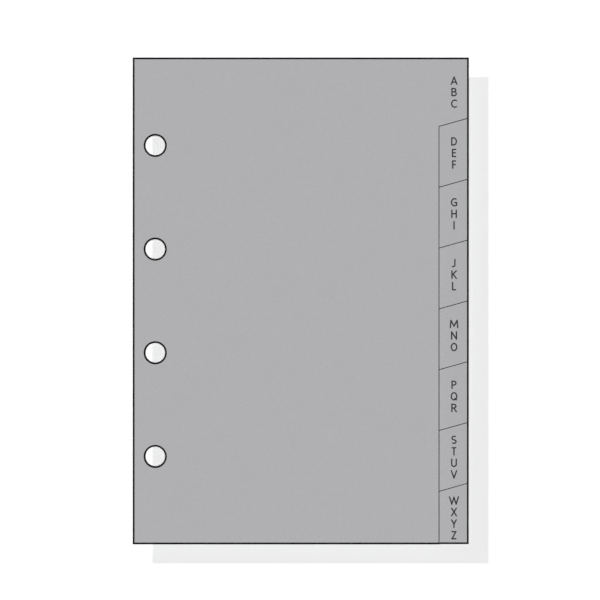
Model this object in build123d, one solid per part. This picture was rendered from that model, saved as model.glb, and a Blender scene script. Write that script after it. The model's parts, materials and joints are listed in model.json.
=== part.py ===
from build123d import *
import math
import os

# An A to Z index set for a ring binder: loose plastic leaves in one flat stack, each with a row of
# ring holes along its binding edge and an index tab along its other long edge. The tabs form a
# staircase, so every tab can be seen from the front.
#
# All sizes are in millimetres. The origin is the middle of the stack's footprint, on the surface that
# the stack lies on. +X points from the ring holes to the tabs, +Y to the head of the leaves and +Z out
# of the front leaf.

# The tabs, from the front leaf to the back leaf
tab_names = ["abc", "def", "ghi", "jkl", "mno", "pqr", "stuv", "wxyz"]

# The leaf
leaf_width = 71.8
leaf_height = 104.0
leaf_thickness = 0.4
air_gap = 0.1  # between one leaf and the next

# The index cut
tab_depth = 6.3  # how far a tab stands out past the cut-back edge of the leaves in front of it
tab_end_angle = 15.7  # degrees, the slant of a tab's lower end

# The ring holes
ring_hole_count = 4
ring_hole_diameter = 4.2
ring_hole_pitch = 22.15
ring_hole_inset = 4.8  # from the binding edge to the holes' centres

# Sizes worked out from those above
leaf_count = len(tab_names)
leaf_pitch = leaf_thickness + air_gap
tab_pitch = leaf_height / leaf_count
tab_end_rise = tab_depth * math.tan(math.radians(tab_end_angle))
binding_edge = -leaf_width / 2
tab_edge = leaf_width / 2
cut_back_edge = tab_edge - tab_depth
head = leaf_height / 2
foot = -leaf_height / 2


def leaf_outline(place):
    """The corners of a leaf, where place is 1 for the front leaf and leaf_count for the back one."""
    left_side = [(binding_edge, foot), (binding_edge, head)]
    if place == leaf_count:
        return left_side + [(tab_edge, head), (tab_edge, foot)]
    tab_end = head - place * tab_pitch
    tab = [(tab_edge, head), (tab_edge, tab_end), (cut_back_edge, tab_end - tab_end_rise)]
    return left_side + tab + [(cut_back_edge, foot)]


def leaf(place):
    """One leaf at its height in the stack, with its ring holes punched through."""
    sheet = make_face(Polyline(*leaf_outline(place), close=True))
    hole_column = Pos(binding_edge + ring_hole_inset, 0) * GridLocations(
        0, ring_hole_pitch, 1, ring_hole_count
    )
    holes = hole_column * Circle(ring_hole_diameter / 2)
    level = (leaf_count - place) * leaf_pitch
    return Pos(0, 0, level) * extrude(sheet - holes, leaf_thickness)


os.makedirs("parts", exist_ok=True)
for place, tab_name in enumerate(tab_names, start=1):
    node = "leaf_" + tab_name
    solid = leaf(place)
    solid.label = node
    export_step(solid, "parts/" + node + ".step")
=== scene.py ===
import json
import math

import bpy
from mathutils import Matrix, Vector
from mathutils.geometry import delaunay_2d_cdt


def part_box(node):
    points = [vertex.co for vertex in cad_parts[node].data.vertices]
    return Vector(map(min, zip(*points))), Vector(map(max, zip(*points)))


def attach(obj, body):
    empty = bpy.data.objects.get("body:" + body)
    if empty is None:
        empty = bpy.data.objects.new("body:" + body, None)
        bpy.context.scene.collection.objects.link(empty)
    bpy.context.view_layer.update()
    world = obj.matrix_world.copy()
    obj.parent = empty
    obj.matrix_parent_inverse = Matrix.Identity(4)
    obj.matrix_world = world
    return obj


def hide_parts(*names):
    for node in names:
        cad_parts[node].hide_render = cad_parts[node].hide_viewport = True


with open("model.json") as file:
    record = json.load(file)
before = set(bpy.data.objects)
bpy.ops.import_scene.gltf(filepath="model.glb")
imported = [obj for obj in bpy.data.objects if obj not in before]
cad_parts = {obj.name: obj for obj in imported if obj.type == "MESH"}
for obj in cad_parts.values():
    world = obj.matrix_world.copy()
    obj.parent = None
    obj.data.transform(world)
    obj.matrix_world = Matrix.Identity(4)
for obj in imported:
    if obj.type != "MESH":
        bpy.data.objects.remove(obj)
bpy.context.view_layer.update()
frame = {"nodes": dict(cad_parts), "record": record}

# The looks of an A to Z index set. Each leaf of the frame is a core with a film on each face, with a dark
# rim round each film, and print. The black of the rims is painted shade along the edges, steps and holes.
# Everything is in metres, in the frame's own axes: the ring holes are on the left (-X), the tabs on the
# right, the head of the leaves is at +Y and the front leaf is on top.

MM = 0.001
TINY = 0.01 * MM  # places of the CAD model nearer than this are the same

# The leaves, from the front one to the back one, and the letters printed on their tabs
LEAF_NODES = sorted(frame["nodes"])
RING_HOLES = [mount for mount in frame["record"]["mounts"] if mount["kind"] == "bore"]

# Print
PRINT_THICKNESS = 0.02 * MM  # above the film
PRINT_DEPTH = PRINT_THICKNESS * 1.25  # with what has soaked into the film
CAP_HEIGHT = 1.80 * MM
LINE_PITCH = 2.47 * MM
STROKE = 0.158  # the width of a stroke, in cap heights
LEVEL_SLOPE = 0.01  # a stroke that rises less than this is level
ON_THE_LINE = 0.001  # how near the base line or the cap line a stroke that reaches it ends, in cap heights

# A leaf is a core with a thin film on each face. Round the film is a rim, which the cutting rule presses
# down to the core in a round shoulder. Its black is painted shade along the leaf's edges, steps and holes.
CORE_THICKNESS = 0.31 * MM
OUTLINE_RIM = 0.39 * MM
STEP_RIM = 0.16 * MM
HOLE_RIM = 0.38 * MM
RIM_STEPS = 6
HOLE_CORNERS = 72
FACE_NAMES = {1: "front", -1: "back"}

# What fill makes of loops that lie inside others or cross them, and how near it merges points, in the
# unit of the loops
MERGED = 1
WITH_HOLES = 2
MERGE_NEAR = 1e-6

SAME_PLACE = 1e-4 * MM  # the step to which a mesh rounds places, to join its corners

# Colours, as linear values
FILM_GREY = (0.4585, 0.4585, 0.4705)
CORE_GREY = (0.45, 0.45, 0.46)
# Painted shade: the black of the rims stands in for the shade along the cut edges, the steps and the holes
EDGE_SHADE_BLACK = (0.0095, 0.0095, 0.0095)
INK = (0.036, 0.036, 0.036)


# ---------------------------------------------------------------------------------------------------
# Plane geometry
# ---------------------------------------------------------------------------------------------------

def arc(centre, radii, start, end, steps=14):
    """Points along an elliptical arc, from start to end in degrees."""
    points = []
    for step in range(steps + 1):
        angle = math.radians(start + (end - start) * step / steps)
        points.append((centre[0] + radii[0] * math.cos(angle), centre[1] + radii[1] * math.sin(angle)))
    return points


def left_normal(a, b):
    """The unit vector to the left of the way from a to b."""
    along = (b - a).normalized()
    return Vector((-along.y, along.x))


def inset_corner(before, corner, after, inset_before, inset_after):
    """Where two sides that meet at a corner cross, once each has moved to its left."""
    normal_before = left_normal(before, corner)
    normal_after = left_normal(corner, after)
    turn = normal_before.x * normal_after.y - normal_before.y * normal_after.x
    reach_before = normal_before.dot(corner) + inset_before
    reach_after = normal_after.dot(corner) + inset_after
    x = (reach_before * normal_after.y - reach_after * normal_before.y) / turn
    y = (reach_after * normal_before.x - reach_before * normal_after.x) / turn
    return Vector((x, y))


def inset_loop(corners, insets):
    """A closed outline, anticlockwise, with each side moved inwards by its own inset."""
    count = len(corners)
    loop = []
    for i in range(count):
        before, corner, after = corners[i - 1], corners[i], corners[(i + 1) % count]
        loop.append(inset_corner(before, corner, after, insets[i - 1], insets[i]))
    return loop


def circle_loop(centre, radius):
    """A clockwise circle, so that the material round a hole is on its left."""
    loop = []
    for i in range(HOLE_CORNERS):
        angle = -2 * math.pi * i / HOLE_CORNERS
        loop.append(centre + radius * Vector((math.cos(angle), math.sin(angle))))
    return loop


def fill(loops, kind):
    """Triangles of the area that the loops enclose, anticlockwise: (points, triangles)."""
    points, numbered = [], []
    for loop in loops:
        numbered.append(list(range(len(points), len(points) + len(loop))))
        points += loop
    corners, _, triangles, _, _, enclosing = delaunay_2d_cdt(points, [], numbered, kind, MERGE_NEAR)
    return corners, [triangle for triangle, around in zip(triangles, enclosing) if around]


# ---------------------------------------------------------------------------------------------------
# Leaves
# ---------------------------------------------------------------------------------------------------

def leaf_corners(node):
    """A leaf's outline, anticlockwise from its foot on the binding edge, with the rim of each side.

    The places come from the CAD leaf: its box, how far its foot reaches, and where its tab ends."""
    low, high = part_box(node)
    points = [v.co for v in frame["nodes"][node].data.vertices]
    cut_back = max(p.x for p in points if p.y < low.y + TINY)
    tab_end = min(p.y for p in points if p.x > high.x - TINY)
    corners = [Vector((low.x, low.y)), Vector((cut_back, low.y))]
    rims = [OUTLINE_RIM]
    if cut_back < high.x - TINY:
        slant_foot = max(p.y for p in points if abs(p.x - cut_back) < TINY and p.y < tab_end)
        corners += [Vector((cut_back, slant_foot)), Vector((high.x, tab_end))]
        rims += [STEP_RIM, STEP_RIM]
    corners += [Vector((high.x, high.y)), Vector((low.x, high.y))]
    rims += [OUTLINE_RIM, OUTLINE_RIM, OUTLINE_RIM]
    return corners, rims


def leaf_rings(node, shares):
    """For the outline and each ring hole, its loops at shares of the rim's width, counted from the cut."""
    corners, rims = leaf_corners(node)
    rings = [[inset_loop(corners, [share * rim for rim in rims]) for share in shares]]
    for hole in RING_HOLES:
        centre, radius = Vector(hole["pos_m"][:2]), hole["dims"]["r_mm"] * MM
        rings.append([circle_loop(centre, radius + share * HOLE_RIM) for share in shares])
    return rings


class Shell:
    """Collects the faces of a closed mesh, and joins corners that fall on the same place."""

    def __init__(self):
        self.numbers, self.places, self.faces, self.smooth = {}, [], [], []

    def corner(self, flat, z):
        """The number of the corner at a place."""
        key = tuple(round(c / SAME_PLACE) for c in (flat[0], flat[1], z))
        if key not in self.numbers:
            self.numbers[key] = len(self.places)
            self.places.append((flat[0], flat[1], z))
        return self.numbers[key]

    def face(self, corners, smooth=False):
        """Adds a face, unless two of its corners fall together."""
        numbers = [self.corner(flat, z) for flat, z in corners]
        if len(set(numbers)) == len(numbers):
            self.faces.append(numbers)
            self.smooth.append(smooth)

    def flat(self, loops, height, side):
        """The area within an outline and round its holes. It looks up if side is 1, down if it is -1."""
        points, triangles = fill(loops, WITH_HOLES)
        for triangle in triangles:
            self.face([(points[i], height) for i in triangle[::side]])

    def band(self, outer, outer_height, inner, inner_height, side=1, smooth=False):
        """The faces between two loops that have as many corners."""
        for i in range(len(outer)):
            j = (i + 1) % len(outer)
            corners = [(outer[i], outer_height), (outer[j], outer_height)]
            corners += [(inner[j], inner_height), (inner[i], inner_height)]
            self.face(corners[::side], smooth)

    def piece(self, name, material):
        """The object that the faces make."""
        mesh = bpy.data.meshes.new(name)
        mesh.from_pydata(self.places, [], self.faces)
        mesh.polygons.foreach_set("use_smooth", self.smooth)
        mesh.update()
        mesh.materials.append(material)
        piece = bpy.data.objects.new(name, mesh)
        bpy.context.collection.objects.link(piece)
        return piece


def leaf_heights(node, side):
    """Where a film's underside and its face are, on a leaf's front if side is 1, on its back if it is -1."""
    low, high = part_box(node)
    middle = (low.z + high.z) / 2
    return middle + side * CORE_THICKNESS / 2, middle + side * ((high.z - low.z) / 2 - PRINT_THICKNESS)


def make_core(node, material):
    """The core of a leaf. Its cut edge shows all round the leaf and through the ring holes."""
    foot, top = leaf_heights(node, -1)[0], leaf_heights(node, 1)[0]
    cuts = [loops[0] for loops in leaf_rings(node, [0])]
    shell = Shell()
    shell.flat(cuts, top, 1)
    shell.flat(cuts, foot, -1)
    for cut in cuts:
        shell.band(cut, foot, cut, top)
    return shell.piece(node.replace("leaf", "core"), material)


def make_film(node, side, material):
    """The grey film on a leaf's front or back. It ends where its rim begins."""
    underside, face = leaf_heights(node, side)
    ends = [loops[0] for loops in leaf_rings(node, [1])]
    shell = Shell()
    shell.flat(ends, face, side)
    shell.flat(ends, underside, -side)
    for end in ends:
        shell.band(end, underside, end, face, side)
    return shell.piece(node.replace("leaf", FACE_NAMES[side] + "_film"), material)


def make_rim(node, side, material):
    """The rim of a film, black with painted shade: a ring along the outline and one round each hole, rounded
    outside.
    """
    underside, face = leaf_heights(node, side)
    turns = [math.pi / 2 * step / RIM_STEPS for step in range(RIM_STEPS + 1)]
    heights = [underside + (face - underside) * math.sin(turn) for turn in turns]
    shell = Shell()
    for loops in leaf_rings(node, [1 - math.cos(turn) for turn in turns]):
        for step in range(RIM_STEPS):
            shell.band(loops[step], heights[step], loops[step + 1], heights[step + 1], side, True)
        shell.band(loops[-1], face, loops[-1], underside, side)
        shell.band(loops[-1], underside, loops[0], underside, side)
    return shell.piece(node.replace("leaf", FACE_NAMES[side] + "_rim"), material)


# ---------------------------------------------------------------------------------------------------
# Letters
# ---------------------------------------------------------------------------------------------------

# A plain index alphabet: for each letter, its width in cap heights and the centre lines of its strokes,
# in a box that is 1 wide and 1 tall
SPINE = [(0, 0), (0, 1)]
LETTERS = {
    "A": (0.80, [[(0, 0), (0.5, 1), (1, 0)], [(0.25, 0.27), (0.75, 0.27)]]),
    "B": (0.66, [SPINE, [(0, 1)] + arc((0.5, 0.77), (0.4, 0.23), 90, -90) + [(0, 0.54)],
                 [(0, 0.54)] + arc((0.55, 0.27), (0.45, 0.27), 90, -90) + [(0, 0)]]),
    "C": (0.74, [arc((0.64, 0.5), (0.64, 0.5), 48, 312, 24)]),
    "D": (0.70, [SPINE, [(0, 1)] + arc((0.36, 0.5), (0.64, 0.5), 90, -90, 20) + [(0, 0)]]),
    "E": (0.52, [[(1, 1), (0, 1), (0, 0), (1, 0)], [(0, 0.52), (0.88, 0.52)]]),
    "F": (0.48, [[(1, 1), (0, 1), (0, 0)], [(0, 0.5), (0.88, 0.5)]]),
    "G": (0.77, [arc((0.6, 0.5), (0.6, 0.5), 52, 278, 22) + [(1, 0.08), (1, 0.46), (0.64, 0.46)]]),
    "H": (0.68, [SPINE, [(1, 0), (1, 1)], [(0, 0.52), (1, 0.52)]]),
    "I": (STROKE, [SPINE]),
    "J": (0.36, [[(1, 1)] + arc((-0.1, 0.24), (1.1, 0.24), 0, -125)]),
    "K": (0.65, [SPINE, [(0.96, 1), (0, 0.42)], [(0.26, 0.58), (1, 0)]]),
    "L": (0.50, [[(0, 1), (0, 0), (1, 0)]]),
    "M": (1.03, [[(0, 0), (0.08, 1), (0.5, 0.2), (0.92, 1), (1, 0)]]),
    "N": (0.73, [[(0, 0), (0, 1), (1, 0), (1, 1)]]),
    "O": (0.80, [arc((0.5, 0.5), (0.5, 0.5), 0, 180, 24), arc((0.5, 0.5), (0.5, 0.5), 180, 360, 24)]),
    "P": (0.62, [SPINE, [(0, 1)] + arc((0.45, 0.73), (0.55, 0.27), 90, -90) + [(0, 0.46)]]),
    "Q": (0.81, [arc((0.5, 0.5), (0.5, 0.5), 0, 180, 24), arc((0.5, 0.5), (0.5, 0.5), 180, 360, 24),
                 [(0.6, 0.24), (1.02, -0.05)]]),
    "R": (0.66, [SPINE, [(0, 1)] + arc((0.45, 0.74), (0.5, 0.26), 90, -90) + [(0, 0.48)],
                 [(0.42, 0.48), (1, 0)]]),
    "S": (0.66, [arc((0.52, 0.745), (0.48, 0.255), 38, 250) + arc((0.48, 0.245), (0.5, 0.245), 70, -142)]),
    "T": (0.57, [[(0, 1), (1, 1)], [(0.5, 1), (0.5, 0)]]),
    "U": (0.70, [[(0, 1)] + arc((0.5, 0.33), (0.5, 0.33), 180, 360, 18) + [(1, 1)]]),
    "V": (0.77, [[(0, 1), (0.5, 0), (1, 1)]]),
    "W": (1.20, [[(0, 1), (0.25, 0), (0.5, 0.94), (0.75, 0), (1, 1)]]),
    "X": (0.70, [[(0, 0), (0.96, 1)], [(0.04, 1), (1, 0)]]),
    "Y": (0.66, [[(0, 1), (0.5, 0.44), (1, 1)], [(0.5, 0.46), (0.5, 0)]]),
    "Z": (0.60, [[(0.02, 1), (0.98, 1), (0, 0), (1, 0)]]),
}


def run_out(inner, end):
    """How a stroke runs on past the end of its centre line, whose last stretch is from inner to end.

    A level end is drawn out by half a stroke. One that stands on the base line or reaches the cap line goes
    a whole stroke further, for cut_level to trim it along that line."""
    along = (end - inner).normalized()
    if abs(along.y) < LEVEL_SLOPE:
        return along * STROKE / 2
    if abs(abs(end.y) - (1 - STROKE) / 2) < ON_THE_LINE:
        return along * STROKE
    return Vector((0, 0))


def ribbon(line):
    """The outline of a stroke with mitred corners, anticlockwise, from its centre line."""
    left, right = [], []
    for i, point in enumerate(line):
        before = left_normal(line[i - 1], point) if i else left_normal(point, line[1])
        after = left_normal(point, line[i + 1]) if i + 1 < len(line) else before
        middle = (before + after).normalized()
        reach = STROKE / 2 / middle.dot(before)
        left.append(point + reach * middle)
        right.append(point - reach * middle)
    return right + left[::-1]


def cut_level(outline, height, side):
    """The part of an outline below a level line, where side is 1, or above it, where side is -1."""
    kept = []
    for i, point in enumerate(outline):
        before = outline[i - 1]
        was_kept, is_kept = side * (before.y - height) <= 0, side * (point.y - height) <= 0
        if was_kept != is_kept:
            kept.append(before.lerp(point, (height - before.y) / (point.y - before.y)))
        if is_kept:
            kept.append(point)
    return kept


def letter_shape(letter):
    """A letter's points and triangles, in cap heights about its middle, with its strokes merged."""
    width, strokes = LETTERS[letter]
    outlines = []
    for stroke in strokes:
        line = [Vector(((x - 0.5) * (width - STROKE), (y - 0.5) * (1 - STROKE))) for x, y in stroke]
        line[0] += run_out(line[1], line[0])
        line[-1] += run_out(line[-2], line[-1])
        outlines.append(cut_level(cut_level(ribbon(line), 0.5, 1), -0.5, -1))
    return fill(outlines, MERGED)


def add_letter(shell, letter, centre, mirror, low, high):
    """One letter as a thin closed solid; mirror is -1 on the back of a leaf, where it reads from below."""
    points, triangles = letter_shape(letter)
    flat = [(centre.x + mirror * CAP_HEIGHT * p.x, centre.y + CAP_HEIGHT * p.y) for p in points]
    if mirror < 0:
        triangles = [triangle[::-1] for triangle in triangles]
    edges = {(triangle[i - 1], triangle[i]) for triangle in triangles for i in range(3)}
    for triangle in triangles:
        shell.face([(flat[i], high) for i in triangle])
        shell.face([(flat[i], low) for i in triangle[::-1]])
    for a, b in sorted(edges):
        if (b, a) not in edges:
            shell.face([(flat[a], low), (flat[b], low), (flat[b], high), (flat[a], high)])


def make_print(node, material):
    """The letters on both faces of a leaf's tab, one under another."""
    low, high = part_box(node)
    letters = node.replace("leaf_", "").upper()
    shell = Shell()
    for i, letter in enumerate(letters):
        line = (len(letters) - 1) / 2 - i
        centre = tab_centre(node) + Vector((0, line * LINE_PITCH))
        add_letter(shell, letter, centre, 1, high.z - PRINT_DEPTH, high.z)
        add_letter(shell, letter, centre, -1, low.z, low.z + PRINT_DEPTH)
    return shell.piece(node.replace("leaf", "print"), material)


def tab_centre(node):
    """The middle of a leaf's tab. Every tab is one step of the staircase, and its ends slant alike."""
    low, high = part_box(node)
    first_corners, _ = leaf_corners(LEAF_NODES[0])
    cut_back, slant_foot = first_corners[2]
    slant_head = first_corners[3].y
    step = (high.y - low.y) / len(LEAF_NODES)
    place = LEAF_NODES.index(node)
    middle_of_slant = (slant_head - slant_foot) / 2
    return Vector(((cut_back + high.x) / 2, high.y - (place + 0.5) * step - middle_of_slant))


# ---------------------------------------------------------------------------------------------------
# Materials
# ---------------------------------------------------------------------------------------------------

class Nodes:
    """A node material and short ways to add to it."""

    def __init__(self, name):
        self.material = bpy.data.materials.new(name)
        self.material.use_nodes = True
        self.tree = self.material.node_tree
        self.shader = self.tree.nodes["Principled BSDF"]
        self.where = self.tree.nodes.new("ShaderNodeTexCoord").outputs["Object"]

    def link(self, a, b):
        self.tree.links.new(a, b)

    def noise(self, size, detail=2.0, stretch=(1, 1, 1)):
        """Noise whose grains are about size across, drawn out along an axis where stretch is small."""
        mapping = self.tree.nodes.new("ShaderNodeMapping")
        mapping.inputs["Scale"].default_value = stretch
        self.link(self.where, mapping.inputs["Vector"])
        noise = self.tree.nodes.new("ShaderNodeTexNoise")
        noise.inputs["Scale"].default_value = 1 / size
        noise.inputs["Detail"].default_value = detail
        self.link(mapping.outputs["Vector"], noise.inputs["Vector"])
        return noise.outputs["Fac"]

    def remap(self, value, low, high, from_low=0.3, from_high=0.7):
        """A value that runs from low to high. What it comes from is noise, which seldom leaves 0.3 to 0.7."""
        remap = self.tree.nodes.new("ShaderNodeMapRange")
        remap.inputs["From Min"].default_value = from_low
        remap.inputs["From Max"].default_value = from_high
        remap.inputs["To Min"].default_value = low
        remap.inputs["To Max"].default_value = high
        self.link(value, remap.inputs["Value"])
        return remap.outputs["Result"]

    def tint(self, colour, strength):
        """A colour made lighter or darker by the strength, a value near 1."""
        mix = self.tree.nodes.new("ShaderNodeVectorMath")
        mix.operation = "SCALE"
        mix.inputs[0].default_value = colour
        self.link(strength, mix.inputs["Scale"])
        self.link(mix.outputs["Vector"], self.shader.inputs["Base Color"])

    def bump(self, height, depth, strength, under=None):
        """A normal that follows a height, whose 1 is as high as depth, on top of another bump or none."""
        bump = self.tree.nodes.new("ShaderNodeBump")
        bump.inputs["Distance"].default_value = depth
        bump.inputs["Strength"].default_value = strength
        self.link(height, bump.inputs["Height"])
        if under is not None:
            self.link(under, bump.inputs["Normal"])
        return bump.outputs["Normal"]


def film_material():
    """Grey plastic film with a fine sand-grain emboss, very faint mottling and a few long scuffs."""
    nodes = Nodes("grey film")
    shader = nodes.shader
    shader.inputs["Specular IOR Level"].default_value = 0.5
    mottling = nodes.noise(5 * MM, 4)
    nodes.tint(FILM_GREY, nodes.remap(mottling, 0.995, 1.005))
    wear = nodes.noise(14 * MM, 4)
    nodes.link(nodes.remap(wear, 0.40, 0.52), shader.inputs["Roughness"])
    scuffs = nodes.noise(1.2 * MM, 2, (1, 0.04, 1))
    worn = nodes.bump(nodes.remap(scuffs, 0, 1, 0.62, 0.72), 0.004 * MM, 0.3)
    grain = nodes.noise(0.5 * MM, 2)
    nodes.link(nodes.bump(grain, 0.22 * MM, 1.0, worn), shader.inputs["Normal"])
    return nodes.material


def edge_shade_material():
    """Painted shade for the rims: a matt, plain black standing in for the shade along every cut edge, step
    and hole.
    """
    nodes = Nodes("dark rim")
    nodes.shader.inputs["Base Color"].default_value = (*EDGE_SHADE_BLACK, 1)
    nodes.shader.inputs["Specular IOR Level"].default_value = 0.12
    nodes.shader.inputs["Roughness"].default_value = 0.7
    return nodes.material


def core_material():
    """The core: bare plastic with the upright marks that a cutting rule leaves."""
    nodes = Nodes("cut core")
    nodes.shader.inputs["Specular IOR Level"].default_value = 0.3
    nodes.shader.inputs["Roughness"].default_value = 0.55
    marks = nodes.noise(0.12 * MM, 2, (1, 1, 0.05))
    nodes.tint(CORE_GREY, nodes.remap(marks, 0.9, 1.1))
    return nodes.material


def ink_material():
    """Screen-printed ink: matt, and a little uneven."""
    nodes = Nodes("dark ink")
    nodes.shader.inputs["Specular IOR Level"].default_value = 0.12
    nodes.shader.inputs["Roughness"].default_value = 0.7
    nodes.tint(INK, nodes.remap(nodes.noise(0.25 * MM, 3), 0.85, 1.2))
    nodes.link(nodes.bump(nodes.noise(0.08 * MM), 0.004 * MM, 0.3), nodes.shader.inputs["Normal"])
    return nodes.material


# ---------------------------------------------------------------------------------------------------
# Floor, light and camera
# ---------------------------------------------------------------------------------------------------

FLOOR_SIZE = 40.0
FLOOR_WHITE = (0.8375, 0.842, 0.839)
OVERHEAD_LIGHT = 0.93  # share of the light on a level surface that comes straight down
OVERHEAD_ANGLE = 6  # degrees across
ZENITH_LIGHT = 0.02  # brightness of the dome straight above
HORIZON_LIGHT = 0.48  # and near the horizon, which lights the edges of the stack
ZENITH_FROM = 0.6  # how high in the dome the brightness of the zenith begins, where 1 is the top
SIDE_LIGHT = 0.25  # what the side light adds on the floor
SIDE_ANGLE = 0.1  # degrees across
SIDE_SHADOW = Vector((4.17 * MM, -4.05 * MM))  # how far that light carries a shadow

# The camera looks straight down from far off, so the sides of the stack and the holes' walls don't show
CAMERA_LENS = 1200.0  # mm
CAMERA_SENSOR = 36.0  # mm
VIEW_WIDTH = 128.18 * MM
VIEW_CENTRE = Vector((-0.17 * MM, 0.20 * MM))


def make_floor():
    """A wide matt floor, which isn't part of the set."""
    mesh = bpy.data.meshes.new("floor")
    half = FLOOR_SIZE / 2
    corners = [(-half, -half, 0), (half, -half, 0), (half, half, 0), (-half, half, 0)]
    mesh.from_pydata(corners, [], [(0, 1, 2, 3)])
    floor = bpy.data.objects.new("floor", mesh)
    bpy.context.collection.objects.link(floor)
    nodes = Nodes("pale floor")
    nodes.shader.inputs["Base Color"].default_value = (*FLOOR_WHITE, 1)
    nodes.shader.inputs["Roughness"].default_value = 1.0
    nodes.shader.inputs["Specular IOR Level"].default_value = 0.0
    mesh.materials.append(nodes.material)
    return floor


def add_sun(name, direction, level_light, angle):
    """A sun that shines along direction and gives a level surface level_light, where 1 is full white."""
    sun = bpy.data.lights.new(name, "SUN")
    slant = -direction.normalized().z
    sun.energy = math.pi * level_light / slant
    sun.angle = math.radians(angle)
    lamp = bpy.data.objects.new(name, sun)
    lamp.rotation_mode = "QUATERNION"
    lamp.rotation_quaternion = direction.to_track_quat("-Z", "Y")
    bpy.context.collection.objects.link(lamp)
    return lamp


def collection_of(name, pieces):
    """A collection for a light to be linked to."""
    collection = bpy.data.collections.new(name)
    for piece in pieces:
        collection.objects.link(piece)
    return collection


def make_lights(floor, top_of_back_leaf):
    """Soft even light from overhead, and a low side light that only draws a shadow on the floor.

    The film and the rim on the front of the back leaf are all that stops the side light, so the shadow is
    that leaf's plain outline, moved to one side. The tabs of the leaves in front would make steps in it,
    and the leaf's lower pieces, which reach down to the floor, would draw out its ends."""
    overhead = add_sun("overhead", Vector((0, 0, -1)), OVERHEAD_LIGHT, OVERHEAD_ANGLE)
    overhead.visible_glossy = False  # as if polarised, so that it leaves no glare on the leaves
    drop = leaf_heights(LEAF_NODES[-1], 1)[0]
    side = add_sun("side", Vector((SIDE_SHADOW.x, SIDE_SHADOW.y, -drop)), SIDE_LIGHT, SIDE_ANGLE)
    side.light_linking.receiver_collection = collection_of("lit by the side light", [floor])
    side.light_linking.blocker_collection = collection_of("stops the side light", top_of_back_leaf)


def make_dome():
    """A dome that is dim above and bright near the horizon, like the walls of a light tent."""
    world = bpy.data.worlds.new("dome")
    world.use_nodes = True
    tree = world.node_tree
    where = tree.nodes.new("ShaderNodeTexCoord")
    parts = tree.nodes.new("ShaderNodeSeparateXYZ")
    tree.links.new(where.outputs["Generated"], parts.inputs["Vector"])
    height = tree.nodes.new("ShaderNodeMapRange")
    height.interpolation_type = "SMOOTHSTEP"
    height.inputs["From Min"].default_value = 0.0
    height.inputs["From Max"].default_value = ZENITH_FROM
    height.inputs["To Min"].default_value = HORIZON_LIGHT
    height.inputs["To Max"].default_value = ZENITH_LIGHT
    tree.links.new(parts.outputs["Z"], height.inputs["Value"])
    tree.links.new(height.outputs["Result"], tree.nodes["Background"].inputs["Strength"])
    tree.nodes["Background"].inputs["Color"].default_value = (1, 1, 1, 1)
    bpy.context.scene.world = world


def make_camera():
    """The camera, which looks straight down."""
    data = bpy.data.cameras.new("camera")
    data.lens, data.sensor_width = CAMERA_LENS, CAMERA_SENSOR
    distance = VIEW_WIDTH * CAMERA_LENS / CAMERA_SENSOR
    data.clip_start, data.clip_end = distance / 100, distance * 10
    camera = bpy.data.objects.new("camera", data)
    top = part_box(LEAF_NODES[0])[1].z
    camera.location = (VIEW_CENTRE.x, VIEW_CENTRE.y, top + distance)
    bpy.context.collection.objects.link(camera)
    bpy.context.scene.camera = camera


# ---------------------------------------------------------------------------------------------------

def make_leaves():
    """The pieces of every leaf. Returns the film and the rim on the front of the back leaf."""
    film_plastic, painted_shade_on_rims = film_material(), edge_shade_material()
    core_plastic, ink = core_material(), ink_material()
    for node in LEAF_NODES:
        core = make_core(node, core_plastic)
        # The rims carry the painted edge shade
        back = [make_film(node, -1, film_plastic), make_rim(node, -1, painted_shade_on_rims)]
        front = [make_film(node, 1, film_plastic), make_rim(node, 1, painted_shade_on_rims)]
        letters = make_print(node, ink)
        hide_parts(node)
        for piece in [core, *back, *front, letters]:
            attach(piece, node)
    return front


make_camera()
top_of_back_leaf = make_leaves()
make_lights(make_floor(), top_of_back_leaf)
make_dome()
bpy.context.scene.view_settings.view_transform = "Standard"
